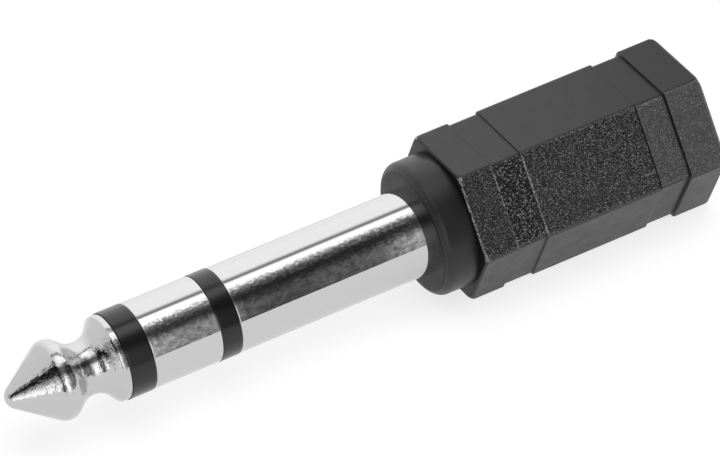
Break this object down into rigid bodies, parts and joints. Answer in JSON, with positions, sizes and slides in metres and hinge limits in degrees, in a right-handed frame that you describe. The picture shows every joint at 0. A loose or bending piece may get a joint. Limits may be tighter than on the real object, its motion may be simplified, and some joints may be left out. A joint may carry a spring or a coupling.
{
  "type": "audio jack adapter",
  "caption": "Adapter from a large three-pole headphone plug to a small three-pole socket, in a six-sided moulded grip with a round collar.",
  "frame": {"origin": "on the plug's axis, at the collar's front face, which stops against the jack that the plug is pushed into", "axes": "+X along the axis from the plug to the socket's mouth, +Z square to the grip's flat upper side, +Y to the left when looking along +X"},
  "size_m": [0.054, 0.0124, 0.011],
  "materials": {
    "grip_plastic": "moulded, part satin and part fine grain",
    "nickel_plate": "turned brass with bright nickel plate",
    "insulator_plastic": "moulded, glossy",
    "natural_nylon": "moulded, uncoloured",
    "carrier_plastic": "moulded, matt",
    "spring_bronze": "stamped and bent sheet"
  },
  "bodies": {
    "root": {"grip_body": "grip_plastic", "tip_contact": "nickel_plate", "tip_insulator": "insulator_plastic", "rod_sleeving": "natural_nylon", "ring_contact": "nickel_plate", "ring_insulator": "insulator_plastic", "stem_sleeving": "natural_nylon", "sleeve_contact": "nickel_plate", "sleeve_strap": "spring_bronze", "front_washer": "natural_nylon", "ring_spring": "spring_bronze", "rear_washer": "natural_nylon", "tip_spring": "spring_bronze", "spring_carrier": "carrier_plastic", "socket_bush": "nickel_plate"}
  },
  "joints": []
}
